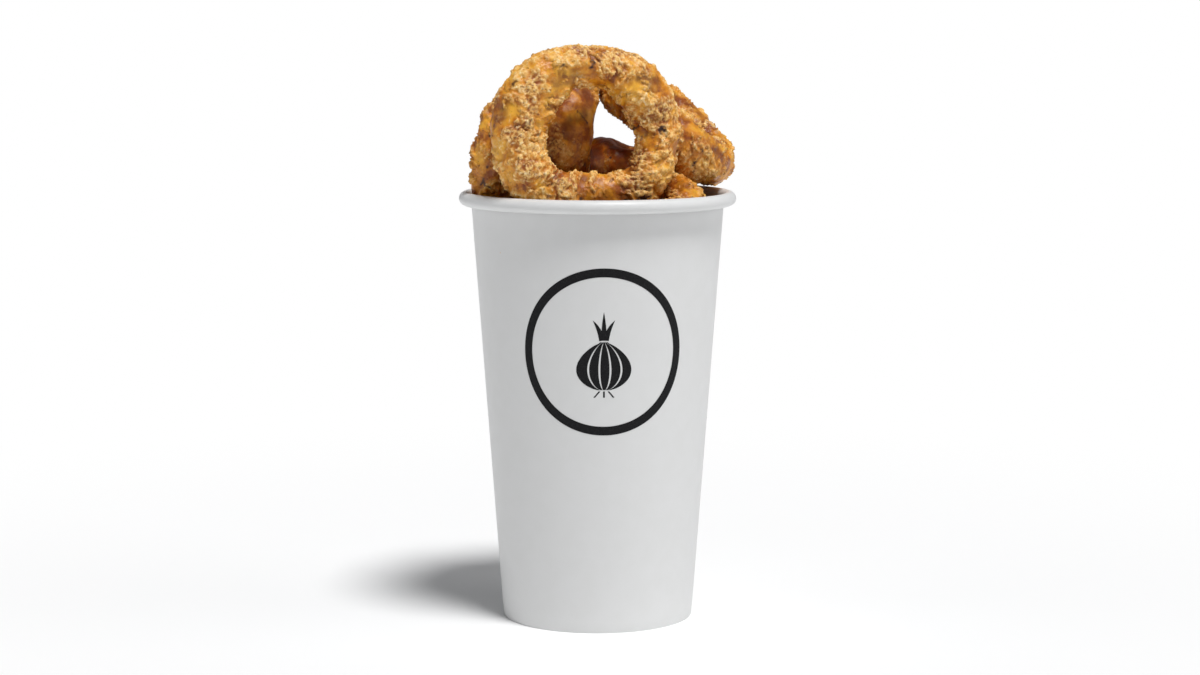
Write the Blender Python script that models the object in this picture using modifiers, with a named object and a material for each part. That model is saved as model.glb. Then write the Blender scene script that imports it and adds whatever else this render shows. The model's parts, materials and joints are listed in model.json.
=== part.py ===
"""Onion rings side: battered rings heaped in a tall white paper cup.

Metres, +Z up, cup axis on the world Z axis, the cup standing on Z = 0, front towards -Y.
"""

import math
from dataclasses import dataclass

import bmesh
import bpy
from mathutils import Matrix, Vector

MM = 0.001

# Paper cup
CUP_HEIGHT = 139.5 * MM
BASE_RADIUS = 31.05 * MM
RIM_RADIUS = 45.0 * MM
ROLL_RADIUS = 2.2 * MM
PAPER = 0.5 * MM
TAPER = 0.0733
CUP_STEPS = 56
ROLL_STEP_DEG = 24.0
ROLL_START_DEG = 180.0
ROLL_END_DEG = -114.0
FOLD_TOP = 8.0 * MM
FIT_GAP = 0.3 * MM
BASE_UNDER = 8.4 * MM
SKIRT_FOOT = 1.0 * MM
WELD_DISTANCE = 0.01 * MM

# Heap of rings inside the cup
HEAP_STEPS = 36
HEAP_SPOKES = 5
HEAP_FLOOR_GAP = 0.4 * MM
HEAP_FLOOR = BASE_UNDER + PAPER + HEAP_FLOOR_GAP
HEAP_TOP = 109.0 * MM
HEAP_LUMP = 1.8 * MM
HEAP_LUMPS_ROUND = 5
HEAP_SWELLS_ROUND = 3
HEAP_SWELL_SHARE = 0.6
HEAP_SWELL_PHASE = 1.0
HEAP_CROWN = 1.0 * MM
HEAP_WALL_GAP = 0.55 * MM

# Rings
RING_STEPS = 24
SECTION_STEPS = 9
SECTION_POWER = 0.8
DEPTH_SHARE = 0.6
DEPTH_SHIFT = math.radians(40.0)

# Finishes: colour and roughness
WHITE_PAPER = ((0.86, 0.86, 0.85), 0.45)
BASE_PAPER = ((0.82, 0.82, 0.80), 0.5)
HEAP_CRUST = ((0.42, 0.18, 0.05), 0.7)
RING_CRUST = ((0.52, 0.24, 0.07), 0.65)


@dataclass(frozen=True)
class Wave:
    """One harmonic round a ring: how many times it comes round, how strong, where it peaks."""

    times: int
    amount: float
    peak_deg: float

    def at(self, angle):
        return self.amount * math.cos(self.times * (angle - math.radians(self.peak_deg)))


@dataclass(frozen=True)
class RingPlan:
    """A battered onion ring. Lengths in millimetres, angles in degrees.

    Before it is turned the ring stands upright and faces -Y. `lean` tips its top back,
    then `turn` swings it about the vertical.
    """

    name: str
    centre: tuple
    turn: float
    lean: float
    size: float
    band: float
    depth: float
    shape: tuple = ()
    swell: tuple = ()
    warp: tuple = ()

    def matrix(self):
        swing = Matrix.Rotation(math.radians(self.turn), 4, "Z")
        tip = Matrix.Rotation(math.radians(-self.lean), 4, "X")
        place = Matrix.Translation(Vector(self.centre) * MM)
        return place @ swing @ tip

    def point(self, around, across):
        middle = 0.5 * (self.size - self.band)
        middle *= 1.0 + sum(wave.at(around) for wave in self.shape)
        half_band = 0.5 * self.band * (1.0 + sum(wave.at(around) for wave in self.swell))
        late = sum(wave.at(around - DEPTH_SHIFT) for wave in self.swell)
        half_depth = 0.5 * self.depth * (1.0 + DEPTH_SHARE * late)
        out = middle + half_band * rounded(math.cos(across))
        back = half_depth * rounded(math.sin(across)) + sum(wave.at(around) for wave in self.warp)
        return Vector((out * math.cos(around), back, out * math.sin(around))) * MM


RINGS = (
    RingPlan(
        name="ring_front",
        centre=(-3.0, -21.0, 158.3),
        turn=18,
        lean=2,
        size=61.5,
        band=15.8,
        depth=13.5,
        shape=(Wave(2, 0.03, 0), Wave(3, 0.02, 90), Wave(1, 0.02, 90)),
        swell=(Wave(1, 0.10, 215), Wave(3, 0.17, 30)),
    ),
    RingPlan(
        name="ring_left",
        centre=(-29.2, 4.5, 153.4),
        turn=82,
        lean=-14,
        size=46,
        band=13,
        depth=13.5,
        shape=(Wave(2, 0.03, 60),),
        warp=(Wave(2, -1.8, 90),),
    ),
    RingPlan(
        name="ring_mid",
        centre=(-11.8, 15.0, 153.0),
        turn=96,
        lean=-10,
        size=54,
        band=14.5,
        depth=16.5,
        shape=(Wave(2, 0.03, 30), Wave(3, 0.02, 0)),
    ),
    RingPlan(
        name="ring_right",
        centre=(23.4, 20.0, 160.7),
        turn=-98,
        lean=-49,
        size=51,
        band=14,
        depth=15.5,
        shape=(Wave(2, -0.07, 0), Wave(3, 0.02, 60)),
    ),
    RingPlan(
        name="ring_low_back",
        centre=(12.0, 20.5, 145.6),
        turn=-92,
        lean=-73,
        size=36,
        band=13,
        depth=14,
        shape=(Wave(2, 0.04, 45),),
    ),
    RingPlan(
        name="ring_low_right",
        centre=(19.2, -10.2, 131.4),
        turn=-65,
        lean=48,
        size=35,
        band=12.5,
        depth=12,
        shape=(Wave(2, 0.05, 0),),
    ),
    RingPlan(
        name="ring_low_left",
        centre=(-15.5, -16.3, 120.5),
        turn=135,
        lean=74,
        size=32,
        band=12,
        depth=11,
        shape=(Wave(2, 0.05, 90),),
    ),
    RingPlan(
        name="ring_back_left",
        centre=(-15.0, 15.8, 120.5),
        turn=45,
        lean=76,
        size=32,
        band=12,
        depth=11,
        shape=(Wave(2, 0.05, 30),),
    ),
)


def rounded(value):
    """Fills out a circular section towards a rounded square."""
    return math.copysign(abs(value) ** SECTION_POWER, value)


def clear_scene():
    for obj in list(bpy.data.objects):
        bpy.data.objects.remove(obj)


def material(name, look):
    colour, roughness = look
    made = bpy.data.materials.new(name)
    made.use_nodes = True
    shader = made.node_tree.nodes["Principled BSDF"]
    shader.inputs["Base Color"].default_value = (*colour, 1.0)
    shader.inputs["Roughness"].default_value = roughness
    return made


def add_object(name, mesh, finish, collection):
    obj = bpy.data.objects.new(name, mesh)
    collection.objects.link(obj)
    mesh.materials.append(finish)
    return obj


def mesh_from_loops(name, loops, closed_rows):
    """Skins equal loops of points with quads; the rows close up or end in flat fans."""
    form = bmesh.new()
    rows = [[form.verts.new(point) for point in loop] for loop in loops]
    count = len(loops[0])
    pairs = list(zip(rows, rows[1:]))
    if closed_rows:
        pairs.append((rows[-1], rows[0]))
    for first, second in pairs:
        for step in range(count):
            ahead = (step + 1) % count
            form.faces.new((first[step], first[ahead], second[ahead], second[step]))
    if not closed_rows:
        form.faces.new(list(reversed(rows[0])))
        form.faces.new(rows[-1])
    bmesh.ops.triangulate(form, faces=[face for face in form.faces if len(face.verts) > 4])
    bmesh.ops.recalc_face_normals(form, faces=form.faces)
    for face in form.faces:
        face.smooth = True
    mesh = bpy.data.meshes.new(name)
    form.to_mesh(mesh)
    form.free()
    return mesh


def add_turned(name, profile, closed, finish, collection):
    """Turns a profile in the XZ plane once round the Z axis."""
    mesh = bpy.data.meshes.new(name)
    edges = [(step, step + 1) for step in range(len(profile) - 1)]
    if closed:
        edges.append((len(profile) - 1, 0))
    mesh.from_pydata([(x, 0.0, z) for x, z in profile], edges, [])
    obj = add_object(name, mesh, finish, collection)
    turn = obj.modifiers.new("Turn", "SCREW")
    turn.steps = CUP_STEPS
    turn.render_steps = CUP_STEPS
    turn.use_merge_vertices = True
    turn.merge_threshold = WELD_DISTANCE
    turn.use_smooth_shade = True
    return obj


def wall_radius(height, inset):
    """Radius of the tapered wall at a height, stepped in from its outer face."""
    return BASE_RADIUS + TAPER * height - inset


def roll_point(radius, degrees):
    angle = math.radians(degrees)
    across = RIM_RADIUS - ROLL_RADIUS + radius * math.cos(angle)
    return across, CUP_HEIGHT - ROLL_RADIUS + radius * math.sin(angle)


def roll_angles(start, end):
    count = math.ceil(abs(end - start) / ROLL_STEP_DEG)
    return [start + (end - start) * step / count for step in range(count + 1)]


def wall_profile():
    """Rolled rim, tapered wall and the fold under it, as one closed paper section."""
    outward = roll_angles(ROLL_START_DEG, ROLL_END_DEG)
    inward = roll_angles(ROLL_END_DEG, ROLL_START_DEG)
    outer_roll = [roll_point(ROLL_RADIUS, angle) for angle in outward]
    inner_roll = [roll_point(ROLL_RADIUS - PAPER, angle) for angle in inward]
    skirt_room = 2.0 * FIT_GAP + PAPER
    fold_outer = PAPER + skirt_room
    fold_inner = fold_outer + PAPER
    outer_wall = [(wall_radius(0.0, 0.0), 0.0)]
    under = [(wall_radius(0.0, fold_inner), 0.0)]
    fold = [
        (wall_radius(FOLD_TOP, fold_inner), FOLD_TOP),
        (wall_radius(FOLD_TOP, fold_outer), FOLD_TOP),
        (wall_radius(PAPER, fold_outer), PAPER),
        (wall_radius(PAPER, PAPER), PAPER),
    ]
    return outer_roll + inner_roll + outer_wall + under + fold


def base_profile():
    """Round base with its skirt turned down between wall and fold."""
    outer = PAPER + FIT_GAP
    inner = outer + PAPER
    top = BASE_UNDER + PAPER
    return [
        (0.0, top),
        (wall_radius(top, outer), top),
        (wall_radius(SKIRT_FOOT, outer), SKIRT_FOOT),
        (wall_radius(SKIRT_FOOT, inner), SKIRT_FOOT),
        (wall_radius(BASE_UNDER, inner), BASE_UNDER),
        (0.0, BASE_UNDER),
    ]


def circle(radius, height_at):
    points = []
    for step in range(HEAP_STEPS):
        angle = 2.0 * math.pi * step / HEAP_STEPS
        x = radius * math.cos(angle)
        y = radius * math.sin(angle)
        points.append(Vector((x, y, height_at(radius, angle))))
    return points


def heap_height(radius, angle):
    """Top of the heap: a low crown with soft lumps that die out towards the middle."""
    share = radius / wall_radius(HEAP_TOP, PAPER)
    lumps = math.sin(HEAP_LUMPS_ROUND * angle)
    lumps += HEAP_SWELL_SHARE * math.cos(HEAP_SWELLS_ROUND * angle + HEAP_SWELL_PHASE)
    return HEAP_TOP + HEAP_CROWN * (1.0 - share) + HEAP_LUMP * share * lumps


def heap_loops():
    inset = PAPER + HEAP_WALL_GAP
    foot = wall_radius(HEAP_FLOOR, inset)
    edge = wall_radius(HEAP_TOP - HEAP_LUMP, inset)
    loops = [circle(foot, lambda radius, angle: HEAP_FLOOR)]
    for spoke in range(HEAP_SPOKES, 0, -1):
        loops.append(circle(edge * spoke / HEAP_SPOKES, heap_height))
    return loops


def ring_loops(plan):
    place = plan.matrix()
    loops = []
    for step in range(RING_STEPS):
        around = 2.0 * math.pi * step / RING_STEPS
        across = [2.0 * math.pi * side / SECTION_STEPS for side in range(SECTION_STEPS)]
        loops.append([place @ plan.point(around, angle) for angle in across])
    return loops


def build():
    clear_scene()
    bpy.context.scene.unit_settings.scale_length = 1.0
    collection = bpy.data.collections.new("onion_rings_side")
    bpy.context.scene.collection.children.link(collection)
    paper = material("white_paper", WHITE_PAPER)
    inner_paper = material("base_paper", BASE_PAPER)
    heap_crust = material("heap_crust", HEAP_CRUST)
    add_turned("cup_wall", wall_profile(), True, paper, collection)
    add_turned("cup_base", base_profile(), False, inner_paper, collection)
    heap = mesh_from_loops("ring_heap", heap_loops(), False)
    add_object("ring_heap", heap, heap_crust, collection)
    for plan in RINGS:
        crust = material(plan.name + "_crust", RING_CRUST)
        mesh = mesh_from_loops(plan.name, ring_loops(plan), True)
        add_object(plan.name, mesh, crust, collection)


build()
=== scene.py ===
"""Looks for the onion rings side: craggy battered rings heaped in a tall white paper cup.

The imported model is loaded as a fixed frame. Every visible piece is built around its nodes:
crusted rings grown over the plain ring solids, loose crumbs scattered on them, a finely
turned paper cup with its seam and rolled rim, and a flat one-colour print on its front.
"""

import json
import logging
import math
from dataclasses import dataclass, field
from enum import Enum
from typing import Callable, Sequence

import bmesh
import bpy
import numpy as np
from mathutils import Matrix, Vector

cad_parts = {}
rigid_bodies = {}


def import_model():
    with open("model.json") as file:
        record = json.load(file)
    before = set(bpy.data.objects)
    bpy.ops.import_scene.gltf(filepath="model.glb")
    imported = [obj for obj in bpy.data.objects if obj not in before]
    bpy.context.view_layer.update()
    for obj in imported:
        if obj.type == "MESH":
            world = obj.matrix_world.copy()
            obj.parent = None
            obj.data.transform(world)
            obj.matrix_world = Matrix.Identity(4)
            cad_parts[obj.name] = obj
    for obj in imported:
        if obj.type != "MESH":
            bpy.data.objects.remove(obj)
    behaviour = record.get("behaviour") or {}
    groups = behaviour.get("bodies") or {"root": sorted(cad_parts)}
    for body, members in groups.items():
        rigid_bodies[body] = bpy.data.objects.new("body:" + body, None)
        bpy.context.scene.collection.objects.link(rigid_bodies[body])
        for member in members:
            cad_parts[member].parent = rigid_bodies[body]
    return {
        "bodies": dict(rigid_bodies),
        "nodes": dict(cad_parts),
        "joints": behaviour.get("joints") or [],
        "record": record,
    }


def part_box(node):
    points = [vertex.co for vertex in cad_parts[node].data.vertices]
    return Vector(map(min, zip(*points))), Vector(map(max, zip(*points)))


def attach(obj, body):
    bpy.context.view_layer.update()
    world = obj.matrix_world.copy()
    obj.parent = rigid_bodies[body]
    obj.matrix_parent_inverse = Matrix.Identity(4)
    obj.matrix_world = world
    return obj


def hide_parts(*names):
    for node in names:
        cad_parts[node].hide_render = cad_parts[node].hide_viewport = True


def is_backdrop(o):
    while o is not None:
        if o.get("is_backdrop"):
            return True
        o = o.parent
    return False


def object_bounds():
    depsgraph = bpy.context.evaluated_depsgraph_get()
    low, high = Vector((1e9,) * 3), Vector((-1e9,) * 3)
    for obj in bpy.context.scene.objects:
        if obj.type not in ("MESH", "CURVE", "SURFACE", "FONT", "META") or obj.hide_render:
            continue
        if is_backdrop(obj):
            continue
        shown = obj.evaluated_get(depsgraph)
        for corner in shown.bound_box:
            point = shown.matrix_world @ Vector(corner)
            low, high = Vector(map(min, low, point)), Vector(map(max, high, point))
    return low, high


log = logging.getLogger("onion_rings_side")

MM = 0.001
Colour = tuple[float, float, float]
Point2 = tuple[float, float]
Point3 = tuple[float, float, float]
MERGE_DISTANCE = 0.01 * MM


class CrustMood(Enum):
    """How a ring was fried: how much pale crumb and how much bare glaze it carries. IN_SHADE is no frying: it
    is the golden crust with a darker glaze, painted shade for pieces that lie in shade.
    """

    CRAGGY = "craggy"
    GOLDEN = "golden"
    IN_SHADE = "in_shade"


# --------------------------------------------------------------------------- helpers


class Graph:
    """A thin builder over a node tree, so that a tree reads as a list of steps."""

    def __init__(self, tree: bpy.types.NodeTree) -> None:
        """Args: tree: the node tree to add to."""
        self.tree = tree

    def node(self, kind: str, values: dict | None = None, **settings: object) -> bpy.types.Node:
        """Adds a node.

        Args:
            kind: the node's type name.
            values: socket name or index to a constant, or to an output socket to link from.
            settings: properties of the node itself.

        Returns:
            The new node.
        """
        made = self.tree.nodes.new(kind)
        for name, value in settings.items():
            setattr(made, name, value)
        for key, value in (values or {}).items():
            if isinstance(value, bpy.types.NodeSocket):
                self.tree.links.new(value, made.inputs[key])
            else:
                made.inputs[key].default_value = value
        return made

    def math(self, operation: str, *terms: object, clamp: bool = False) -> bpy.types.NodeSocket:
        """Adds a maths node over one, two or three terms and returns its output."""
        values = dict(enumerate(terms))
        return self.node("ShaderNodeMath", values, operation=operation, use_clamp=clamp).outputs[0]

    def smooth(self, value: bpy.types.NodeSocket, low: float, high: float) -> bpy.types.NodeSocket:
        """Maps a value to 0..1 with a soft step between low and high."""
        values = {"Value": value, "From Min": low, "From Max": high}
        made = self.node("ShaderNodeMapRange", values, interpolation_type="SMOOTHSTEP")
        return made.outputs["Result"]

    def noise(
        self,
        place: bpy.types.NodeSocket,
        scale: float,
        detail: float = 2.0,
        seed: object = 0.0,
        distortion: float = 0.0,
        roughness: float = 0.5,
    ) -> bpy.types.NodeSocket:
        """Adds 4D noise, whose fourth coordinate is the seed.

        Args:
            place: the coordinates it is read at.
            scale: how many features there are to a metre, roughly.
            detail: how many finer layers are added.
            seed: the fourth coordinate.
            distortion: how far the coordinates are stirred first.
            roughness: how strong the finer layers are.

        Returns:
            The noise, from 0 to 1.
        """
        values = {
            "Vector": place,
            "W": seed,
            "Scale": scale,
            "Detail": detail,
            "Roughness": roughness,
            "Distortion": distortion,
        }
        return self.node("ShaderNodeTexNoise", values, noise_dimensions="4D").outputs[0]

    def ramp(self, value: object, stops: Sequence[tuple[float, Colour]]) -> bpy.types.NodeSocket:
        """Adds a colour ramp.

        Args:
            value: the socket or number that picks the colour.
            stops: (place, colour) pairs, in order.

        Returns:
            The picked colour.
        """
        made = self.node("ShaderNodeValToRGB", {"Fac": value})
        elements = made.color_ramp.elements
        while len(elements) < len(stops):
            elements.new(1.0)
        for element, (place, colour) in zip(elements, stops):
            element.position = place
            element.color = (*colour, 1.0)
        return made.outputs["Color"]

    def mix(self, share: object, first: object, second: object) -> bpy.types.NodeSocket:
        """Mixes two colours.

        Args:
            share: how much of the second colour is used.
            first: a colour or a socket.
            second: a colour or a socket.

        Returns:
            The mixed colour.
        """
        made = self.node("ShaderNodeMix", data_type="RGBA")
        for key, value in ((0, share), (6, first), (7, second)):
            if isinstance(value, bpy.types.NodeSocket):
                self.tree.links.new(value, made.inputs[key])
            else:
                made.inputs[key].default_value = value if key == 0 else (*value, 1.0)
        return made.outputs[2]

    def attribute(self, name: str) -> bpy.types.NodeSocket:
        """Reads a stored attribute in a shader and returns its value."""
        return self.node("ShaderNodeAttribute", attribute_name=name).outputs["Fac"]


def shader_graph(name: str) -> tuple[bpy.types.Material, Graph, bpy.types.Node]:
    """Makes a node material.

    Args:
        name: the material's name.

    Returns:
        The material, its graph builder and its Principled shader node.
    """
    made = bpy.data.materials.new(name)
    made.use_nodes = True
    return made, Graph(made.node_tree), made.node_tree.nodes["Principled BSDF"]


def geometry_graph(
    name: str, inputs: Sequence[tuple[str, str, float]]
) -> tuple[bpy.types.NodeTree, Graph, dict]:
    """Makes a Geometry Nodes group with named inputs.

    Args:
        name: the group's name.
        inputs: (name, socket type, default) of each input after the geometry.

    Returns:
        The group, its builder, and input name to output socket of the group input node.
    """
    tree = bpy.data.node_groups.new(name, "GeometryNodeTree")
    face = tree.interface
    face.new_socket("Geometry", in_out="INPUT", socket_type="NodeSocketGeometry")
    for label, kind, default in inputs:
        face.new_socket(label, in_out="INPUT", socket_type=kind).default_value = default
    face.new_socket("Geometry", in_out="OUTPUT", socket_type="NodeSocketGeometry")
    graph = Graph(tree)
    entry = graph.node("NodeGroupInput")
    return tree, graph, {socket.name: socket for socket in entry.outputs if socket.name}


def apply_group(obj: bpy.types.Object, tree: bpy.types.NodeTree, values: dict[str, object]) -> None:
    """Runs a Geometry Nodes group on an object and keeps the result as its plain mesh.

    Args:
        obj: the object, whose mesh is replaced.
        tree: the group.
        values: input name to value, set by socket identifier.
    """
    made = obj.modifiers.new(tree.name, "NODES")
    made.node_group = tree
    for item in tree.interface.items_tree:
        if item.item_type == "SOCKET" and item.in_out == "INPUT" and item.name in values:
            made[item.identifier] = values[item.name]
    bpy.context.view_layer.update()
    graph = bpy.context.evaluated_depsgraph_get()
    result = bpy.data.meshes.new_from_object(
        obj.evaluated_get(graph), preserve_all_data_layers=True, depsgraph=graph
    )
    obj.modifiers.clear()
    old = obj.data
    obj.data = result
    bpy.data.meshes.remove(old)


def add_piece(
    name: str, mesh: bpy.types.Mesh, finish: bpy.types.Material | None = None
) -> bpy.types.Object:
    """Links a mesh into the scene as an object at the origin.

    Args:
        name: the object's name.
        mesh: its mesh.
        finish: its one material, if it has one yet.

    Returns:
        The object.
    """
    obj = bpy.data.objects.new(name, mesh)
    bpy.context.scene.collection.objects.link(obj)
    if finish is not None:
        mesh.materials.clear()
        mesh.materials.append(finish)
    return obj


def shade_smooth(mesh: bpy.types.Mesh) -> None:
    """Shades every face of a mesh smooth."""
    mesh.polygons.foreach_set("use_smooth", [True] * len(mesh.polygons))


def grid_mesh(name: str, rows: np.ndarray, close_rows: bool, close_columns: bool) -> bpy.types.Mesh:
    """Skins a grid of points with quads.

    Args:
        name: the mesh's name.
        rows: points as an array of shape (rows, columns, 3), in metres.
        close_rows: whether the last row joins the first.
        close_columns: whether each row's last point joins its first.

    Returns:
        The mesh, shaded smooth.
    """
    count, width = rows.shape[:2]
    index = np.arange(count * width).reshape(count, width)
    if close_rows:
        index = np.vstack([index, index[:1]])
    if close_columns:
        index = np.hstack([index, index[:, :1]])
    quads = np.stack([index[:-1, :-1], index[:-1, 1:], index[1:, 1:], index[1:, :-1]], axis=-1)
    mesh = bpy.data.meshes.new(name)
    mesh.from_pydata(rows.reshape(-1, 3).tolist(), [], quads.reshape(-1, 4).tolist())
    shade_smooth(mesh)
    return mesh


def close_and_face_out(mesh: bpy.types.Mesh, merge: float = MERGE_DISTANCE) -> None:
    """Merges doubled points, then turns every face outwards."""
    form = bmesh.new()
    form.from_mesh(mesh)
    bmesh.ops.remove_doubles(form, verts=form.verts, dist=merge)
    bmesh.ops.recalc_face_normals(form, faces=form.faces)
    form.to_mesh(mesh)
    form.free()


# --------------------------------------------------------------------------- finishes


@dataclass(frozen=True)
class CrustFinish:
    """Fried batter: bare glaze, pale crumb, painted shade in the hollows, toasted patches and a few scorched
    spots.
    """

    mood: CrustMood
    glaze: tuple[Colour, Colour, Colour]
    crumb: tuple[Colour, Colour, Colour]
    # Painted shade for the hollows, also the colour of the toasted patches.
    shade_and_toast: Colour = (0.15, 0.034, 0.005)
    scorch: Colour = (0.040, 0.012, 0.006)
    glaze_roughness: float = 0.36
    crumb_roughness: float = 0.80
    pore_height: float = 0.00030

    def build(self) -> bpy.types.Material:
        """Builds the material; it reads the crumb, relief and scorch attributes."""
        made, graph, shader = shader_graph(f"crust_{self.mood.value}")
        place = graph.node("ShaderNodeTexCoord").outputs["Object"]
        crumb = graph.attribute("crumb")
        relief = graph.attribute("relief")
        scorch = graph.attribute("scorch")
        broad = graph.noise(place, 120.0, 4.0, 3.0, 0.4, 0.6)
        fine = graph.noise(place, 900.0, 3.0, 7.0, 0.0, 0.7)
        dust = graph.noise(place, 2600.0, 2.0, 9.0)
        glaze = graph.ramp(broad, list(zip((0.40, 0.51, 0.62), self.glaze)))
        pale = graph.ramp(fine, list(zip((0.30, 0.52, 0.72), self.crumb)))
        dusting = graph.smooth(graph.noise(place, 210.0, 5.0, 13.0, 0.6, 0.7), 0.50, 0.66)
        speck = graph.math("MULTIPLY", graph.smooth(fine, 0.46, 0.60), dusting)
        share = graph.math("ADD", crumb, graph.math("MULTIPLY", speck, 0.55), clamp=True)
        colour = graph.mix(share, glaze, pale)
        # Painted shade: where the relief is low, in the hollows between lumps and crags, the colour is
        # darkened.
        low = graph.smooth(relief, 0.50, 0.20)
        colour = graph.mix(graph.math("MULTIPLY", low, 0.80), colour, self.shade_and_toast)
        # Toasted patches at random, in the same dark colour as the painted shade.
        toast = graph.smooth(graph.noise(place, 340.0, 3.0, 17.0, 0.8, 0.6), 0.60, 0.68)
        colour = graph.mix(graph.math("MULTIPLY", toast, 0.70), colour, self.shade_and_toast)
        burnt = graph.math("MULTIPLY", scorch, graph.smooth(fine, 0.28, 0.5), clamp=True)
        colour = graph.mix(burnt, colour, self.scorch)
        rough = graph.node(
            "ShaderNodeMapRange",
            {"Value": share, "To Min": self.glaze_roughness, "To Max": self.crumb_roughness},
        ).outputs["Result"]
        height = graph.math("ADD", graph.math("MULTIPLY", fine, 0.7), graph.math("MULTIPLY", dust, 0.3))
        bump = graph.node("ShaderNodeBump", {"Height": height, "Strength": 0.9, "Distance": self.pore_height})
        graph.tree.links.new(colour, shader.inputs["Base Color"])
        graph.tree.links.new(rough, shader.inputs["Roughness"])
        graph.tree.links.new(bump.outputs["Normal"], shader.inputs["Normal"])
        shader.inputs["Specular IOR Level"].default_value = 0.40
        shader.inputs["Subsurface Weight"].default_value = 0.06
        shader.inputs["Subsurface Radius"].default_value = (0.0016, 0.0007, 0.0003)
        shader.inputs["Subsurface Scale"].default_value = 1.0
        return made


@dataclass(frozen=True)
class PaperFinish:
    """Smooth white coated board with a faint fibre mottle."""

    name: str
    colour: Colour = (0.71, 0.713, 0.712)
    shade: Colour = (0.70, 0.703, 0.70)
    roughness: float = 0.42
    fibre_height: float = 0.00003

    def build(self) -> bpy.types.Material:
        """Builds the material in the object's own coordinates."""
        made, graph, shader = shader_graph(self.name)
        place = graph.node("ShaderNodeTexCoord").outputs["Object"]
        mottle = graph.noise(place, 180.0, 5.0, 1.0)
        fibre = graph.noise(place, 3200.0, 3.0, 2.0, 0.6)
        colour = graph.mix(graph.smooth(mottle, 0.35, 0.65), self.colour, self.shade)
        bump = graph.node("ShaderNodeBump", {"Height": fibre, "Strength": 0.5, "Distance": self.fibre_height})
        rough = graph.node(
            "ShaderNodeMapRange",
            {"Value": mottle, "To Min": self.roughness - 0.05, "To Max": self.roughness + 0.08},
        ).outputs["Result"]
        graph.tree.links.new(colour, shader.inputs["Base Color"])
        graph.tree.links.new(rough, shader.inputs["Roughness"])
        graph.tree.links.new(bump.outputs["Normal"], shader.inputs["Normal"])
        shader.inputs["Subsurface Weight"].default_value = 0.05
        shader.inputs["Subsurface Radius"].default_value = (0.0006, 0.0006, 0.0006)
        return made


@dataclass(frozen=True)
class InkFinish:
    """Flat black ink printed on board, slightly broken by the paper's grain."""

    colour: Colour = (0.008, 0.008, 0.009)
    thin: Colour = (0.020, 0.020, 0.022)
    roughness: float = 0.5

    def build(self) -> bpy.types.Material:
        """Builds the material in the object's own coordinates."""
        made, graph, shader = shader_graph("black_ink")
        place = graph.node("ShaderNodeTexCoord").outputs["Object"]
        grain = graph.noise(place, 2400.0, 3.0, 5.0)
        patch = graph.noise(place, 260.0, 2.0, 6.0)
        colour = graph.mix(graph.smooth(grain, 0.45, 0.75), self.colour, self.thin)
        rough = graph.math("MULTIPLY_ADD", patch, 0.12, self.roughness - 0.06)
        graph.tree.links.new(colour, shader.inputs["Base Color"])
        graph.tree.links.new(rough, shader.inputs["Roughness"])
        shader.inputs["Specular IOR Level"].default_value = 0.12
        return made


@dataclass(frozen=True)
class FloorFinish:
    """Plain pale studio floor."""

    colour: Colour = (0.93, 0.93, 0.93)
    roughness: float = 0.75
    fade_from: float = 0.08
    fade_to: float = 0.42

    def build(self) -> bpy.types.Material:
        """Builds the floor: a barely seen mottle that runs out into the white surround."""
        made, graph, shader = shader_graph("pale_floor")
        place = graph.node("ShaderNodeTexCoord").outputs["Object"]
        mottle = graph.noise(place, 6.0, 3.0, 4.0)
        darker = tuple(0.985 * value for value in self.colour)
        graph.tree.links.new(graph.mix(mottle, self.colour, darker), shader.inputs["Base Color"])
        shader.inputs["Roughness"].default_value = self.roughness
        shader.inputs["Specular IOR Level"].default_value = 0.1
        reach = graph.node("ShaderNodeVectorMath", {0: place}, operation="LENGTH").outputs["Value"]
        seen = graph.node("ShaderNodeLightPath").outputs["Is Camera Ray"]
        share = graph.math("MULTIPLY", graph.smooth(reach, self.fade_from, self.fade_to), seen)
        white = graph.node("ShaderNodeEmission", {"Color": (1.0, 1.0, 1.0, 1.0), "Strength": 1.0})
        both = graph.node("ShaderNodeMixShader", {0: share, 1: shader.outputs[0], 2: white.outputs[0]})
        output = next(node for node in made.node_tree.nodes if node.type == "OUTPUT_MATERIAL")
        graph.tree.links.new(both.outputs[0], output.inputs["Surface"])
        return made


GOLDEN_GLAZE = ((0.29, 0.068, 0.004), (0.64, 0.235, 0.012), (0.84, 0.42, 0.040))
# Painted shade: a darker glaze for crust that lies in shade.
SHADED_GLAZE = ((0.19, 0.030, 0.002), (0.38, 0.082, 0.004), (0.58, 0.185, 0.010))
PALE_CRUMB = ((0.44, 0.14, 0.015), (0.89, 0.55, 0.17), (0.98, 0.84, 0.57))
TOASTED_CRUMB = ((0.38, 0.13, 0.014), (0.78, 0.43, 0.11), (0.95, 0.74, 0.40))

CRUSTS = {
    CrustMood.CRAGGY: CrustFinish(CrustMood.CRAGGY, GOLDEN_GLAZE, PALE_CRUMB),
    CrustMood.GOLDEN: CrustFinish(CrustMood.GOLDEN, GOLDEN_GLAZE, TOASTED_CRUMB),
    # Painted shade: the golden crust again, with the darker glaze.
    CrustMood.IN_SHADE: CrustFinish(CrustMood.IN_SHADE, SHADED_GLAZE, TOASTED_CRUMB, glaze_roughness=0.33),
}


# --------------------------------------------------------------------------- crust


@dataclass(frozen=True)
class Batter:
    """How thick and how craggy the batter is on one ring. Lengths in metres."""

    seed: float
    mood: CrustMood
    swell: float = 1.2 * MM
    lump: float = 0.9 * MM
    crag: float = 1.2 * MM
    cover: float = 0.5
    crumbs: float = 1.0
    levels: int = 4


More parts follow.
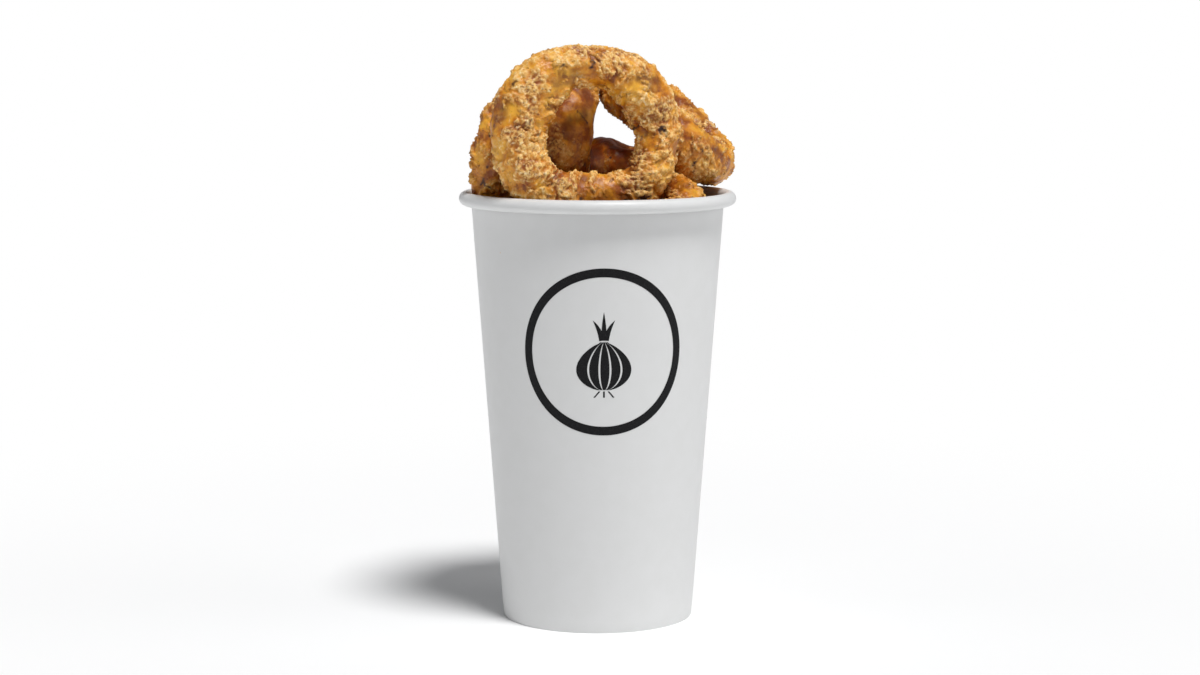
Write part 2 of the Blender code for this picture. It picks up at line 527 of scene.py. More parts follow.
class CrustRelief:
    """The Geometry Nodes group that grows craggy batter over a smooth ring.

    The scales give roughly how many features there are to a metre.
    """

    SWELL_SCALE = 52.0
    LUMP_SCALE = 150.0
    PATCH_SCALE = 88.0
    CURL_SCALE = 300.0
    GRAIN_SCALE = 620.0
    SKIN_SCALE = 330.0
    SCORCH_SCALE = 170.0
    SKIN_HEIGHT = 0.12 * MM
    INPUTS = (
        ("Seed", "NodeSocketFloat", 0.0),
        ("Swell", "NodeSocketFloat", 0.0012),
        ("Lump", "NodeSocketFloat", 0.0008),
        ("Crag", "NodeSocketFloat", 0.001),
        ("Cover", "NodeSocketFloat", 0.5),
        ("Levels", "NodeSocketInt", 4),
        ("Sink", "NodeSocketFloat", -0.0002),
    )

    def __init__(self) -> None:
        """Builds the node group once, to be shared by every ring."""
        self.tree, graph, entry = geometry_graph("crust_relief", self.INPUTS)
        smooth = graph.node(
            "GeometryNodeSubdivisionSurface", {"Mesh": entry["Geometry"], "Level": entry["Levels"]}
        ).outputs["Mesh"]
        place = graph.node("GeometryNodeInputPosition").outputs[0]
        seed = entry["Seed"]
        broad = self._centred(graph, graph.noise(place, self.SWELL_SCALE, 1.0, seed))
        lumpy = graph.noise(place, self.LUMP_SCALE, 2.5, graph.math("ADD", seed, 11.0))
        lumps = self._centred(graph, lumpy)
        patch = graph.noise(place, self.PATCH_SCALE, 6.0, graph.math("ADD", seed, 23.0), 1.2, 0.66)
        edge = graph.math("SUBTRACT", 1.0, entry["Cover"])
        gate = graph.node(
            "ShaderNodeMapRange",
            {
                "Value": patch,
                "From Min": graph.math("MULTIPLY_ADD", edge, 0.36, 0.30),
                "From Max": graph.math("MULTIPLY_ADD", edge, 0.36, 0.36),
            },
            interpolation_type="SMOOTHSTEP",
        ).outputs["Result"]
        curl = graph.noise(place, self.CURL_SCALE, 2.5, graph.math("ADD", seed, 31.0), 1.8, 0.6)
        ridge = graph.math("SUBTRACT", 1.0, graph.math("ABSOLUTE", self._centred(graph, curl)))
        ridge = graph.math("POWER", ridge, 3.0)
        cells = graph.node(
            "ShaderNodeTexVoronoi",
            {"Vector": place, "W": seed, "Scale": self.GRAIN_SCALE, "Randomness": 1.0},
            voronoi_dimensions="4D",
            feature="F1",
        ).outputs["Distance"]
        grains = graph.math("SUBTRACT", 1.0, graph.math("MULTIPLY", cells, 1.35), clamp=True)
        rough = graph.math("ADD", graph.math("MULTIPLY", ridge, 0.55), graph.math("MULTIPLY", grains, 0.6))
        crags = graph.math("MULTIPLY", gate, graph.math("ADD", rough, 0.30))
        skin = self._centred(graph, graph.noise(place, self.SKIN_SCALE, 3.0, seed))
        skin = graph.math("MULTIPLY", skin, self.SKIN_HEIGHT)
        height = graph.math("MULTIPLY", broad, entry["Swell"])
        height = graph.math("MULTIPLY_ADD", lumps, entry["Lump"], height)
        height = graph.math("MULTIPLY_ADD", crags, entry["Crag"], height)
        height = graph.math("SUBTRACT", graph.math("ADD", height, skin), entry["Sink"])
        normal = graph.node("GeometryNodeInputNormal").outputs[0]
        offset = graph.node(
            "ShaderNodeVectorMath", {0: normal, "Scale": height}, operation="SCALE"
        ).outputs[0]
        crumb = graph.math("MULTIPLY", gate, graph.smooth(rough, 0.20, 0.66))
        # The relief is high on lumps and crags and low in the hollows; the crust finish darkens its low parts
        # as painted shade.
        relief = graph.math("MULTIPLY_ADD", lumps, 0.36, 0.42)
        relief = graph.math("ADD", relief, graph.math("MULTIPLY", crags, 0.4), clamp=True)
        spots = graph.noise(place, self.SCORCH_SCALE, 3.0, graph.math("ADD", seed, 47.0), 0.4, 0.6)
        scorch = graph.smooth(spots, 0.635, 0.68)
        # The attributes are read before the points move, so they are stored first.
        stored = smooth
        for name, value in (("crumb", crumb), ("relief", relief), ("scorch", scorch)):
            stored = graph.node(
                "GeometryNodeStoreNamedAttribute",
                {"Geometry": stored, "Name": name, "Value": value},
                data_type="FLOAT",
                domain="POINT",
            ).outputs[0]
        grown = graph.node("GeometryNodeSetPosition", {"Geometry": stored, "Offset": offset}).outputs[0]
        graph.node("NodeGroupOutput", {0: grown})

    @staticmethod
    def _centred(graph: Graph, value: bpy.types.NodeSocket) -> bpy.types.NodeSocket:
        """Turns 0..1 noise into roughly -1..1."""
        return graph.math("MULTIPLY_ADD", value, 3.2, -1.6)

    def grow(self, obj: bpy.types.Object, batter: Batter) -> None:
        """Runs the group on a ring, so that its mesh becomes the craggy crust.

        Args:
            obj: the smooth ring.
            batter: how its batter is.
        """
        values = {
            "Seed": batter.seed,
            "Swell": batter.swell,
            "Lump": batter.lump,
            "Crag": batter.crag,
            "Cover": batter.cover,
            "Levels": batter.levels,
        }
        apply_group(obj, self.tree, values)
        shade_smooth(obj.data)


class CrumbScatter:
    """The Geometry Nodes group that scatters loose crumbs over a crust."""

    FLATNESS = 0.7
    INPUTS = (
        ("Seed", "NodeSocketInt", 0),
        ("Density", "NodeSocketFloat", 300000.0),
        ("Smallest", "NodeSocketFloat", 0.00010),
        ("Largest", "NodeSocketFloat", 0.00036),
    )

    def __init__(self) -> None:
        """Builds the node group once, to be shared by every ring."""
        self.tree, graph, entry = geometry_graph("crumb_scatter", self.INPUTS)
        self.tree.interface.new_socket("Crumb Material", in_out="INPUT", socket_type="NodeSocketMaterial")
        start = next(node for node in self.tree.nodes if node.type == "GROUP_INPUT")
        material = start.outputs["Crumb Material"]
        named = graph.node(
            "GeometryNodeInputNamedAttribute", {"Name": "crumb"}, data_type="FLOAT"
        ).outputs["Attribute"]
        points = graph.node(
            "GeometryNodeDistributePointsOnFaces",
            {
                "Mesh": entry["Geometry"],
                "Density": graph.math("MULTIPLY", entry["Density"], graph.math("POWER", named, 1.5)),
                "Seed": entry["Seed"],
            },
            distribute_method="RANDOM",
        )
        crumb = graph.node("GeometryNodeMeshIcoSphere", {"Radius": 1.0, "Subdivisions": 1}).outputs["Mesh"]
        place = graph.node("GeometryNodeInputPosition").outputs[0]
        dent = graph.math("MULTIPLY_ADD", graph.noise(place, 1.7, 1.0, 5.0), 1.5, -0.75)
        push = graph.node("ShaderNodeVectorMath", {0: place, "Scale": dent}, operation="SCALE").outputs[0]
        crumb = graph.node("GeometryNodeSetPosition", {"Geometry": crumb, "Offset": push}).outputs[0]
        turn = graph.node(
            "FunctionNodeRandomValue",
            {"Max": (math.tau, math.tau, math.tau), "Seed": entry["Seed"]},
            data_type="FLOAT_VECTOR",
        ).outputs[0]
        size = graph.node(
            "FunctionNodeRandomValue",
            {
                "Min": entry["Smallest"],
                "Max": entry["Largest"],
                "Seed": graph.math("ADD", entry["Seed"], 3.0),
            },
            data_type="FLOAT",
        ).outputs[1]
        thin = graph.math("MULTIPLY", size, self.FLATNESS)
        flat = graph.node("ShaderNodeCombineXYZ", {0: size, 1: size, 2: thin}).outputs[0]
        strewn = graph.node(
            "GeometryNodeInstanceOnPoints",
            {"Points": points.outputs["Points"], "Instance": crumb, "Rotation": turn, "Scale": flat},
        ).outputs[0]
        real = graph.node("GeometryNodeRealizeInstances", {"Geometry": strewn}).outputs[0]
        # The crumbs take a high relief, so they get none of the painted shade of the hollows.
        for name, value in (("crumb", 1.0), ("relief", 0.8), ("scorch", 0.0)):
            real = graph.node(
                "GeometryNodeStoreNamedAttribute",
                {"Geometry": real, "Name": name, "Value": value},
                data_type="FLOAT",
                domain="POINT",
            ).outputs[0]
        done = graph.node("GeometryNodeSetMaterial", {"Geometry": real, "Material": material}).outputs[0]
        graph.node("NodeGroupOutput", {0: done})

    def strew(self, crust: bpy.types.Object, name: str, seed: int, density: float) -> bpy.types.Object:
        """Scatters crumbs on a crust.

        Args:
            crust: the crusted ring, with its crumb attribute.
            name: the new piece's name.
            seed: the scatter's seed.
            density: crumbs per square metre where the crust is all crumb.

        Returns:
            The crumbs as one piece.
        """
        obj = add_piece(name, crust.data.copy())
        values = {"Seed": seed, "Density": density, "Crumb Material": crust.data.materials[0]}
        apply_group(obj, self.tree, values)
        return obj


# --------------------------------------------------------------------------- rings


@dataclass
class Ring:
    """One battered ring that stands for a ring node of the frame."""

    node: str
    batter: Batter
    limit: tuple[Vector, Vector]
    crumb_density: float = 150000.0
    pieces: list[bpy.types.Object] = field(default_factory=list)

    def build(self, frame: dict, relief: CrustRelief) -> bpy.types.Object:
        """Grows the crust over a copy of the node's mesh, with its triangles paired to quads.

        Args:
            frame: the loaded frame.
            relief: the group that grows the crust.

        Returns:
            The crust.
        """
        mesh = frame["nodes"][self.node].data.copy()
        mesh.name = f"{self.node}_crust"
        form = bmesh.new()
        form.from_mesh(mesh)
        bmesh.ops.remove_doubles(form, verts=form.verts, dist=MERGE_DISTANCE)
        bmesh.ops.join_triangles(
            form,
            faces=form.faces,
            angle_face_threshold=math.pi,
            angle_shape_threshold=math.pi,
        )
        bmesh.ops.recalc_face_normals(form, faces=form.faces)
        form.to_mesh(mesh)
        form.free()
        crust = add_piece(f"{self.node}_crust", mesh)
        relief.grow(crust, self.batter)
        self._keep_inside(crust.data)
        self.pieces.append(crust)
        return crust

    def dress(self, finish: bpy.types.Material, scatter: CrumbScatter) -> None:
        """Gives the crust its finish, strews any crumbs and ties each piece to the frame.

        Args:
            finish: the crust's material, which its crumbs share.
            scatter: the group that strews the crumbs.
        """
        crust = self.pieces[0]
        crust.data.materials.clear()
        crust.data.materials.append(finish)
        if self.batter.crumbs > 0.0:
            density = self.crumb_density * self.batter.crumbs
            crumbs = scatter.strew(crust, f"{self.node}_crumbs", int(self.batter.seed), density)
            self._keep_inside(crumbs.data)
            self.pieces.append(crumbs)
        for piece in self.pieces:
            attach(piece, "root")
        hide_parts(self.node)

    def _keep_inside(self, mesh: bpy.types.Mesh) -> None:
        """Draws a piece in from its middle, so that it fits the frame's box and stays round."""
        points = np.empty(len(mesh.vertices) * 3, np.float32)
        mesh.vertices.foreach_get("co", points)
        points = points.reshape(-1, 3)
        low = np.array(self.limit[0], np.float32)
        high = np.array(self.limit[1], np.float32)
        middle = 0.5 * (points.min(axis=0) + points.max(axis=0))
        above = (high - middle) / np.maximum(points.max(axis=0) - middle, high - middle)
        below = (middle - low) / np.maximum(middle - points.min(axis=0), middle - low)
        eased = middle + (points - middle) * np.where(points > middle, above, below)
        mesh.vertices.foreach_set("co", np.clip(eased, low, high).reshape(-1))
        mesh.update()


@dataclass(frozen=True)
class LooseRing:
    """A ring lying on the heap inside the cup, by its sizes. Lengths in millimetres."""

    reach: float
    bearing: float
    size: float
    tilt: float
    tilt_towards: float
    seed: float
    band: float = 11.0
    depth: float = 8.5
    steps: int = 24
    sides: int = 9

    def mesh(self, top: float) -> bpy.types.Mesh:
        """Builds the smooth ring, lying on the heap.

        Args:
            top: the height of the ring's top, in metres.

        Returns:
            The ring's mesh.
        """
        around = np.linspace(0.0, math.tau, self.steps, endpoint=False)[:, None]
        across = np.linspace(0.0, math.tau, self.sides, endpoint=False)[None, :]
        middle = 0.5 * (self.size - self.band) * (1.0 + 0.05 * np.cos(2.0 * around + self.seed))
        out = middle + 0.5 * self.band * np.cos(across)
        x = out * np.cos(around)
        y = out * np.sin(around)
        z = 0.5 * self.depth * np.sin(across) + 0.7 * np.cos(2.0 * around + 2.0 * self.seed)
        rows = np.stack([x, y, z], axis=-1) * MM
        bearing = math.radians(self.bearing)
        centre = Vector((self.reach * math.cos(bearing), self.reach * math.sin(bearing), 0.0)) * MM
        centre.z = top - (0.5 * self.depth + 1.2) * MM
        axis = Matrix.Rotation(math.radians(self.tilt_towards), 4, "Z") @ Vector((1.0, 0.0, 0.0))
        mesh = grid_mesh("loose_ring", rows, True, True)
        mesh.transform(Matrix.Translation(centre) @ Matrix.Rotation(math.radians(self.tilt), 4, axis))
        close_and_face_out(mesh)
        return mesh


@dataclass
class Heap:
    """The rings that fill the cup: a rough core with real rings lying on it."""

    node: str = "ring_heap"
    ring_drop: float = 2.5 * MM
    core_drop: float = 7.0 * MM
    core_gap: float = 0.2 * MM
    taper: float = 0.0733
    edge_gap: float = 0.8 * MM
    rings: tuple[LooseRing, ...] = (
        LooseRing(20.0, 95.0, 34.0, 3.0, 20.0, 1.0),
        LooseRing(20.0, 215.0, 33.0, 4.0, 140.0, 2.0),
        LooseRing(20.0, 335.0, 34.0, 3.0, 260.0, 3.0),
    )
    core_rings: int = 40
    core_steps: int = 120
    pieces: list[bpy.types.Object] = field(default_factory=list)

    def build(self, relief: CrustRelief) -> None:
        """Builds the core and the rings on it, inside the heap node's outline."""
        low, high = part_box(self.node)
        radius = 0.5 * (high[0] - low[0]) - self.edge_gap
        top = high[2] - self.ring_drop
        self.pieces.append(self._core(radius, low[2], top - self.core_drop, relief))
        for count, ring in enumerate(self.rings):
            obj = add_piece(f"heap_ring_{count + 1}", ring.mesh(top))
            # Painted shade: the heap's rings lie down in the cup, in shade, and take the darker crust.
            batter = Batter(60.0 + ring.seed, CrustMood.IN_SHADE, lump=0.6 * MM, crag=0.7 * MM, levels=3)
            relief.grow(obj, batter)
            self.pieces.append(obj)

    def _core(self, radius: float, floor: float, top: float, relief: CrustRelief) -> bpy.types.Object:
        """Builds the core: a lumpy top over a plain plug that follows the cup's taper.

        Args:
            radius: the core's radius at its top.
            floor: the height that it stands on.
            top: the height of its top.
            relief: the group that roughens it.

        Returns:
            The core.
        """
        around = np.linspace(0.0, math.tau, self.core_steps, endpoint=False)[None, :]
        share = np.linspace(1.0, 0.0, self.core_rings)[:, None]
        lumps = np.sin(5.0 * around + 4.0 * share) * np.cos(7.0 * share + 2.0 * around)
        height = top + 1.6 * MM * lumps * share
        reach = radius * share
        rows = [np.stack([reach * np.cos(around), reach * np.sin(around), height], axis=-1)]
        foot = radius - self.taper * (top - floor)
        for part in (0.02, 0.35, 0.7, 1.0):
            size = radius + (foot - radius) * part
            level = np.full_like(around, top - (top - floor - self.core_gap) * part)
            rows.insert(0, np.stack([size * np.cos(around), size * np.sin(around), level], axis=-1))
        centre = np.stack([0.0 * around, 0.0 * around, np.full_like(around, floor + self.core_gap)], axis=-1)
        rows.insert(0, centre)
        grid = np.concatenate([row.reshape(-1, self.core_steps, 3) for row in rows])
        mesh = grid_mesh("heap_core", grid, False, True)
        close_and_face_out(mesh)
        obj = add_piece("heap_core", mesh)
        batter = Batter(71.0, CrustMood.IN_SHADE, swell=0.0, lump=0.3 * MM, crag=0.3 * MM, levels=1)
        relief.grow(obj, batter)
        return obj

    def dress(self, finish: bpy.types.Material) -> None:
        """Gives every piece the darker crust, painted shade for the heap down in the cup, and ties it to the
        frame.
        """
        for piece in self.pieces:
            piece.data.materials.clear()
            piece.data.materials.append(finish)
            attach(piece, "root")
        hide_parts(self.node)


# --------------------------------------------------------------------------- cup


@dataclass(frozen=True)
class CupForm:
    """Sizes of the paper cup, in metres."""

    height: float
    rim_radius: float
    base_radius: float = 31.05 * MM
    taper: float = 0.0733
    roll: float = 2.2 * MM
    paper: float = 0.5 * MM
    fit_gap: float = 0.3 * MM
    fold_top: float = 8.0 * MM
    base_under: float = 8.4 * MM
    skirt_foot: float = 1.0 * MM
    seam_bearing: float = 118.0
    seam_width: float = 7.0 * MM
    seam_step: float = 0.28 * MM

    def wall(self, height: float, inset: float = 0.0) -> float:
        """Radius of the tapered wall at a height, stepped in from its outer face."""
        return self.base_radius + self.taper * height - inset

    def roll_point(self, radius: float, degrees: float) -> Point2:
        """A point on the rolled rim's section, as (radius, height)."""
        angle = math.radians(degrees)
        across = self.rim_radius - self.roll + radius * math.cos(angle)
        return across, self.height - self.roll + radius * math.sin(angle)


@dataclass
class PaperCup:
    """The cup: rolled rim, tapered wall with its glued seam, fold and raised base."""

    form: CupForm
    steps: int = 320
    rows: int = 44
    roll_steps: int = 26
    pieces: list[bpy.types.Object] = field(default_factory=list)

    def build(self) -> None:
        """Builds the wall and the base."""
        self.pieces.append(self._turned("cup_paper_wall", self._wall_section(), True, self._seam))
        self.pieces.append(self._turned("cup_paper_base", self._base_section(), False, None))

    def dress(self, wall: bpy.types.Material, base: bpy.types.Material) -> None:
        """Gives both pieces their board finish and ties them to the frame."""
        for piece, finish, slot, node in (
            (self.pieces[0], wall, "white_paper", "cup_wall"),
            (self.pieces[1], base, "base_paper", "cup_base"),
        ):
            piece.data.materials.clear()
            piece.data.materials.append(finish)
            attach(piece, "root")
            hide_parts(node)

    def _wall_section(self) -> list[Point2]:
        """The wall's closed section, from the rim's inner shoulder over the roll and down."""
        form = self.form
        angles = np.linspace(180.0, -114.0, self.roll_steps)
        outer = [form.roll_point(form.roll, float(angle)) for angle in angles]
        inner = [form.roll_point(form.roll - form.paper, float(angle)) for angle in reversed(angles)]
        shoulder = form.height - form.roll - 2.0 * MM
        down = [(form.wall(float(z)), float(z)) for z in np.linspace(shoulder, 0.4 * MM, self.rows)]
        gap = 2.0 * form.fit_gap + form.paper
        outer_fold = form.paper + gap
        hem = [
            (form.wall(0.0, 0.12 * MM), 0.0),
            (form.wall(0.0, outer_fold + form.paper - 0.1 * MM), 0.0),
            (form.wall(0.3 * MM, outer_fold + form.paper), 0.3 * MM),
            (form.wall(form.fold_top, outer_fold + form.paper), form.fold_top),
            (form.wall(form.fold_top, outer_fold), form.fold_top),
            (form.wall(form.paper, outer_fold), form.paper),
            (form.wall(form.paper, form.paper), form.paper),
        ]
        rise = np.linspace(3.0 * MM, shoulder, self.rows)
        up = [(form.wall(float(z), form.paper), float(z)) for z in rise]
        return outer + inner + down + hem + up

    def _base_section(self) -> list[Point2]:
        """The base disc with its skirt turned down between wall and fold."""
        form = self.form
        outer = form.paper + form.fit_gap
        inner = outer + form.paper
        top = form.base_under + form.paper
        bend = 0.5 * MM
        return [
            (0.0, top),
            (0.5 * form.wall(top, outer), top),
            (form.wall(top, outer) - bend, top),
            (form.wall(top, outer) - 0.15 * MM, top - 0.15 * MM),
            (form.wall(top - bend, outer), top - bend),
            (form.wall(form.skirt_foot, outer), form.skirt_foot),
            (form.wall(form.skirt_foot, inner), form.skirt_foot),
            (form.wall(form.base_under - bend, inner), form.base_under - bend),
            (form.wall(form.base_under, inner) - bend, form.base_under),
            (0.0, form.base_under),
        ]

    def _seam(self, bearing: np.ndarray, radius: np.ndarray, height: np.ndarray) -> np.ndarray:
        """How far the overlapped seam stands proud of the wall.

        Args:
            bearing: each point's bearing round the cup.
            radius: each point's distance from the axis.
            height: each point's height.

        Returns:
            How far each point is moved outwards.
        """
        form = self.form
        off = (bearing - math.radians(form.seam_bearing) + math.pi) % math.tau - math.pi
        along = off * radius
        steepness = np.clip((along + 0.5 * form.seam_width) / (0.10 * MM), -60.0, 60.0)
        rise = 1.0 / (1.0 + np.exp(-steepness))
        fall = 1.0 - np.clip((along - 0.5 * form.seam_width) / (3.0 * MM), 0.0, 1.0)
        lap = rise * np.where(along > 0.5 * form.seam_width, fall, 1.0)
        inside_roll = height < form.height - 2.0 * form.roll - 0.5 * MM
        return form.seam_step * lap * inside_roll

    def _turned(
        self,
        name: str,
        section: list[Point2],
        closed: bool,
        proud: Callable[[np.ndarray, np.ndarray, np.ndarray], np.ndarray] | None,
    ) -> bpy.types.Object:
        """Turns a section about the cup's axis.

        Args:
            name: the piece's name.
            section: (radius, height) points.
            closed: whether the section closes on itself.
            proud: how far each point stands out, by bearing, radius and height.

        Returns:
            The piece.
        """
        bearing = self._bearings()[None, :]
        radius = np.array([point[0] for point in section])[:, None] + 0.0 * bearing
        height = np.array([point[1] for point in section])[:, None] + 0.0 * bearing
        if proud is not None:
            outer_face = np.abs(radius - (self.form.base_radius + self.form.taper * height)) < 0.2 * MM
            radius = radius + outer_face * proud(bearing, radius, height)
        rows = np.stack([radius * np.cos(bearing), radius * np.sin(bearing), height], axis=-1)
        mesh = grid_mesh(name, rows, closed, True)
        close_and_face_out(mesh)
        return add_piece(name, mesh)

    def _bearings(self) -> np.ndarray:
        """Bearings round the cup, closer together at the seam's step."""
        even = np.linspace(0.0, math.tau, self.steps, endpoint=False)
        step = math.radians(self.form.seam_bearing) - 0.5 * self.form.seam_width / (36.0 * MM)
        close = step + np.linspace(-0.5, 0.5, 9) * MM / (36.0 * MM)
        return np.unique(np.concatenate([even, close]))


@dataclass
class CupPrint:
    """The flat print on the cup's front: a plain black band round a plain onion shape."""

    form: CupForm
    centre_height: float = 91.5 * MM
    centre_side: float = 2.0 * MM
    band_outer: float = 26.6 * MM
    band_inner: float = 23.8 * MM
    bulb_width: float = 17.5 * MM
    bulb_height: float = 15.5 * MM
    bulb_drop: float = 4.5 * MM
    ink_lift: float = 0.05 * MM
    slices: int = 5
    slice_gap: float = 0.07
    pieces: list[bpy.types.Object] = field(default_factory=list)

    def build(self) -> None:
        """Builds the band, the bulb's slices, its shoots and its roots."""
        self.pieces.append(self._sheet("print_band", self._band()))
        patches = [self._slice(count) for count in range(self.slices)]
        patches += [self._leaf(turn, length) for turn, length in ((-24.0, 7.0), (0.0, 9.0), (24.0, 7.0))]
        patches += [self._root(side) for side in (-0.16, 0.0, 0.16)]
        self.pieces.append(self._sheet("print_onion", patches))

    def dress(self, ink: bpy.types.Material) -> None:
        """Gives both pieces the ink and ties them to the frame."""
        for piece in self.pieces:
            piece.data.materials.clear()
            piece.data.materials.append(ink)
            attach(piece, "root")

    def _wrap(self, side: np.ndarray, up: np.ndarray) -> np.ndarray:
        """Lays flat print coordinates on the cup's front, just proud of the wall."""
        height = self.centre_height + up
        radius = self.form.base_radius + self.form.taper * height + self.ink_lift
        bearing = (self.centre_side + side) / radius - 0.5 * math.pi
        return np.stack([radius * np.cos(bearing), radius * np.sin(bearing), height], axis=-1)

    def _sheet(self, name: str, patches: list[np.ndarray]) -> bpy.types.Object:
        """Wraps flat patches of points, shape (rows, columns, 2), into one printed piece."""
        form = bmesh.new()
        for patch in patches:
            points = self._wrap(patch[..., 0], patch[..., 1])
            grid = [[form.verts.new(point) for point in row] for row in points]
            for lower, upper in zip(grid, grid[1:]):
                for left in range(len(lower) - 1):
                    form.faces.new((lower[left], lower[left + 1], upper[left + 1], upper[left]))
        bmesh.ops.remove_doubles(form, verts=form.verts, dist=0.0000005)
        for face in form.faces:
            face.normal_update()
            if face.normal.y > 0.0:
                face.normal_flip()
            face.smooth = True
        mesh = bpy.data.meshes.new(name)
        form.to_mesh(mesh)
        form.free()
        return add_piece(name, mesh)

    def _band(self) -> list[np.ndarray]:
        """The round band, as one closed strip."""
        turn = np.linspace(0.0, math.tau, 181)[None, :]
        size = np.linspace(self.band_inner, self.band_outer, 4)[:, None]
        return [np.stack([size * np.cos(turn), size * np.sin(turn)], axis=-1)]

    def _half_width(self, share: np.ndarray) -> np.ndarray:
        """Half width of the bulb from its root (0) to its neck (1)."""
        body = np.sin(math.pi * np.clip(share, 0.0, 1.0) ** 0.82) ** 0.62
        neck = 0.13 * np.clip((share - 0.7) / 0.3, 0.0, 1.0)
        return 0.5 * self.bulb_width * np.maximum(body, neck)

    def _slice(self, count: int) -> np.ndarray:
        """One upright slice of the bulb, between two of its curved lines."""
        share = np.linspace(0.015, 1.0, 40)[:, None]
        width = 2.0 / self.slices
        left = -1.0 + count * width + (self.slice_gap if count else 0.0)
        right = -1.0 + (count + 1) * width
        across = np.linspace(left, right, 8)[None, :]
        side = self._half_width(share) * across
        up = (share - 0.5) * self.bulb_height - self.bulb_drop + 0.0 * across
        return np.stack([side, up], axis=-1)

    def _leaf(self, turn: float, length: float) -> np.ndarray:
        """A short pointed shoot above the bulb's neck."""
        share = np.linspace(0.0, 1.0, 16)[:, None]
        across = np.linspace(-1.0, 1.0, 5)[None, :]
        angle = math.radians(turn) * (0.35 + 0.65 * share)
        reach = length * MM * share
        half = 0.85 * MM * (1.0 - share**2) + 0.02 * MM
        side = reach * np.sin(angle) + half * across * np.cos(angle)
        up = reach * np.cos(angle) - half * across * np.sin(angle)
        foot = 0.5 * self.bulb_height - self.bulb_drop + 0.5 * MM
        return np.stack([side + 1.6 * MM * math.sin(math.radians(turn)), up + foot], axis=-1)

    def _root(self, side: float) -> np.ndarray:
        """A short root line under the bulb."""
        share = np.linspace(0.0, 1.0, 6)[:, None]
        across = np.linspace(-1.0, 1.0, 3)[None, :]
        half = 0.28 * MM
        spread = side * self.bulb_width * (0.5 + 0.6 * share)
        up = -0.5 * self.bulb_height - self.bulb_drop - 0.2 * MM - 2.0 * MM * share + 0.0 * across
        return np.stack([spread + half * across, up], axis=-1)


# --------------------------------------------------------------------------- studio


@dataclass(frozen=True)
class Lamp:
    """A wide soft lamp, far enough off to light cup and floor evenly.

    The bearing is measured from straight in front, towards the right.
    """

    name: str
    bearing: float
    height: float
    spread: float
    power: float
    colour: Colour = (1.0, 1.0, 1.0)


@dataclass
class Studio:
    """Pale floor, soft lamps, white surround and the camera."""

    lamps: tuple[Lamp, ...] = (
        Lamp("key_lamp", 34.0, 68.0, 16.0, 2.80),
        Lamp("side_lamp", 78.0, 20.0, 40.0, 0.44),
        Lamp("fill_lamp", -78.0, 16.0, 40.0, 0.30),
    )
    ambient: float = 0.18
    camera_place: Point3 = (0.0, -0.850, 0.1983)
    floor_reach: float = 4.0
    camera_pitch: float = 0.125
    camera_lens: float = 78.56
    camera_shift: float = 0.002

    def build(self) -> None:
        """Builds the surround, the lamps and the camera."""
        self._surround()
        for lamp in self.lamps:
            self._lamp(lamp)
        self._camera()
        scene = bpy.context.scene
        scene.view_settings.view_transform = "Standard"

    def floor(self, finish: bpy.types.Material) -> None:
        """Lays the floor under the cup and marks it as staging."""
        half = self.floor_reach
        corners = [(-half, -half, 0.0), (half, -half, 0.0), (half, half, 0.0), (-half, half, 0.0)]
        mesh = bpy.data.meshes.new("floor")
        mesh.from_pydata(corners, [], [(0, 1, 2, 3)])
        add_piece("floor", mesh, finish)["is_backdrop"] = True

    def _surround(self) -> None:
        """White where the camera sees it, softer where it only lights."""
        world = bpy.data.worlds.new("surround")
        world.use_nodes = True
        bpy.context.scene.world = world
        graph = Graph(world.node_tree)
        world.node_tree.nodes.clear()
        path = graph.node("ShaderNodeLightPath").outputs
        seen = graph.math("MAXIMUM", path["Is Camera Ray"], path["Is Transmission Ray"])
        white = graph.node("ShaderNodeBackground", {"Color": (1.0, 1.0, 1.0, 1.0), "Strength": 1.0})
        soft = graph.node(
            "ShaderNodeBackground", {"Color": (0.95, 0.97, 1.0, 1.0), "Strength": self.ambient}
        )
        both = graph.node("ShaderNodeMixShader", {0: seen, 1: soft.outputs[0], 2: white.outputs[0]})
        graph.node("ShaderNodeOutputWorld", {"Surface": both.outputs[0]})

    def _lamp(self, lamp: Lamp) -> None:
        """Adds one lamp, shining towards the cup."""
        data = bpy.data.lights.new(lamp.name, "SUN")
        data.energy = lamp.power
        data.angle = math.radians(lamp.spread)
        data.color = lamp.colour
        obj = bpy.data.objects.new(lamp.name, data)
        side = math.radians(lamp.bearing)
        rise = math.radians(lamp.height)
        level = math.cos(rise)
        source = Vector((math.sin(side) * level, -math.cos(side) * level, math.sin(rise)))
        obj.location = source
        obj.rotation_euler = (-source).to_track_quat("-Z", "Y").to_euler()
        bpy.context.scene.collection.objects.link(obj)

    def _camera(self) -> None:
        """Adds the camera, level but tipped a little down, in front of the cup."""
        data = bpy.data.cameras.new("camera")
        data.lens = self.camera_lens
        data.sensor_width = 36.0
        data.shift_x = self.camera_shift
        obj = bpy.data.objects.new("camera", data)
        obj.location = self.camera_place
        obj.rotation_euler = (0.5 * math.pi - self.camera_pitch, 0.0, 0.0)
        bpy.context.scene.collection.objects.link(obj)
        bpy.context.scene.camera = obj


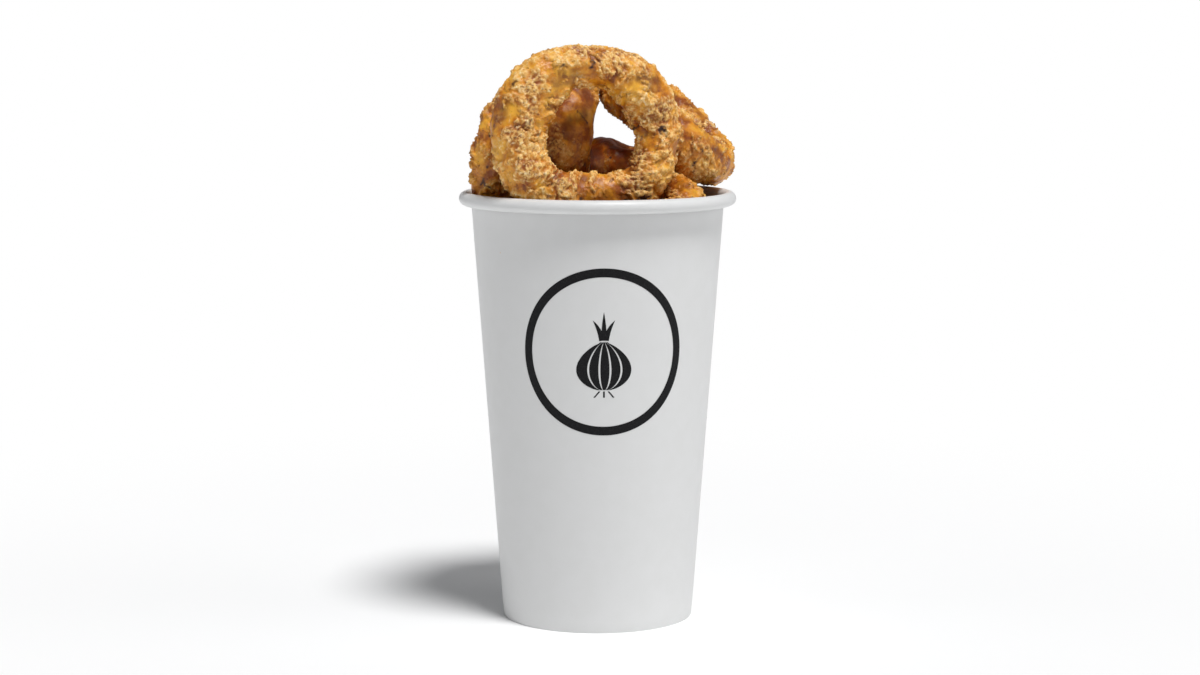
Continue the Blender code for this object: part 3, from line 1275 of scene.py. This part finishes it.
# --------------------------------------------------------------------------- making

BATTERS = {
    "ring_front": Batter(4.0, CrustMood.CRAGGY, cover=0.54, crumbs=1.2),
    "ring_left": Batter(13.0, CrustMood.GOLDEN, cover=0.5),
    "ring_mid": Batter(22.0, CrustMood.GOLDEN, lump=0.6 * MM, crag=0.6 * MM, cover=0.42, crumbs=0.6),
    "ring_right": Batter(35.0, CrustMood.CRAGGY, cover=0.46),
    # Painted shade: this ring lies in shade behind the front ring, so it takes the darker crust.
    "ring_low_back": Batter(42.0, CrustMood.IN_SHADE, lump=0.5 * MM, crag=0.35 * MM, cover=0.1, crumbs=0.0),
    "ring_low_right": Batter(53.0, CrustMood.GOLDEN, cover=0.42, crumbs=0.8),
    "ring_low_left": Batter(64.0, CrustMood.GOLDEN, cover=0.45),
    "ring_back_left": Batter(75.0, CrustMood.GOLDEN, cover=0.45),
}


def main() -> None:
    """Builds every piece round the frame, in order."""
    logging.basicConfig(level=logging.INFO, format="%(message)s")
    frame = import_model()
    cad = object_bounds()
    margin = Vector((0.00002, 0.00002, 0.00002))
    limit = (Vector(cad[0]) + margin, Vector(cad[1]) - margin)
    studio = Studio()
    studio.build()
    studio.floor(FloorFinish().build())
    log.info("studio built")
    crusts = {mood: finish.build() for mood, finish in CRUSTS.items()}
    relief = CrustRelief()
    scatter = CrumbScatter()
    for node, batter in BATTERS.items():
        ring = Ring(node, batter, limit)
        ring.build(frame, relief)
        ring.dress(crusts[batter.mood], scatter)
        for piece in ring.pieces:
            log.info("%s: %d faces", piece.name, len(piece.data.polygons))
    heap = Heap()
    heap.build(relief)
    heap.dress(crusts[CrustMood.IN_SHADE])
    wall_low, wall_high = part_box("cup_wall")
    form = CupForm(height=wall_high[2], rim_radius=wall_high[0])
    cup = PaperCup(form)
    cup.build()
    cup.dress(PaperFinish("white_board").build(), PaperFinish("base_board", roughness=0.5).build())
    badge = CupPrint(form)
    badge.build()
    badge.dress(InkFinish().build())
    for piece in heap.pieces + cup.pieces + badge.pieces:
        log.info("%s: %d faces", piece.name, len(piece.data.polygons))


if __name__ == "__main__":
    main()
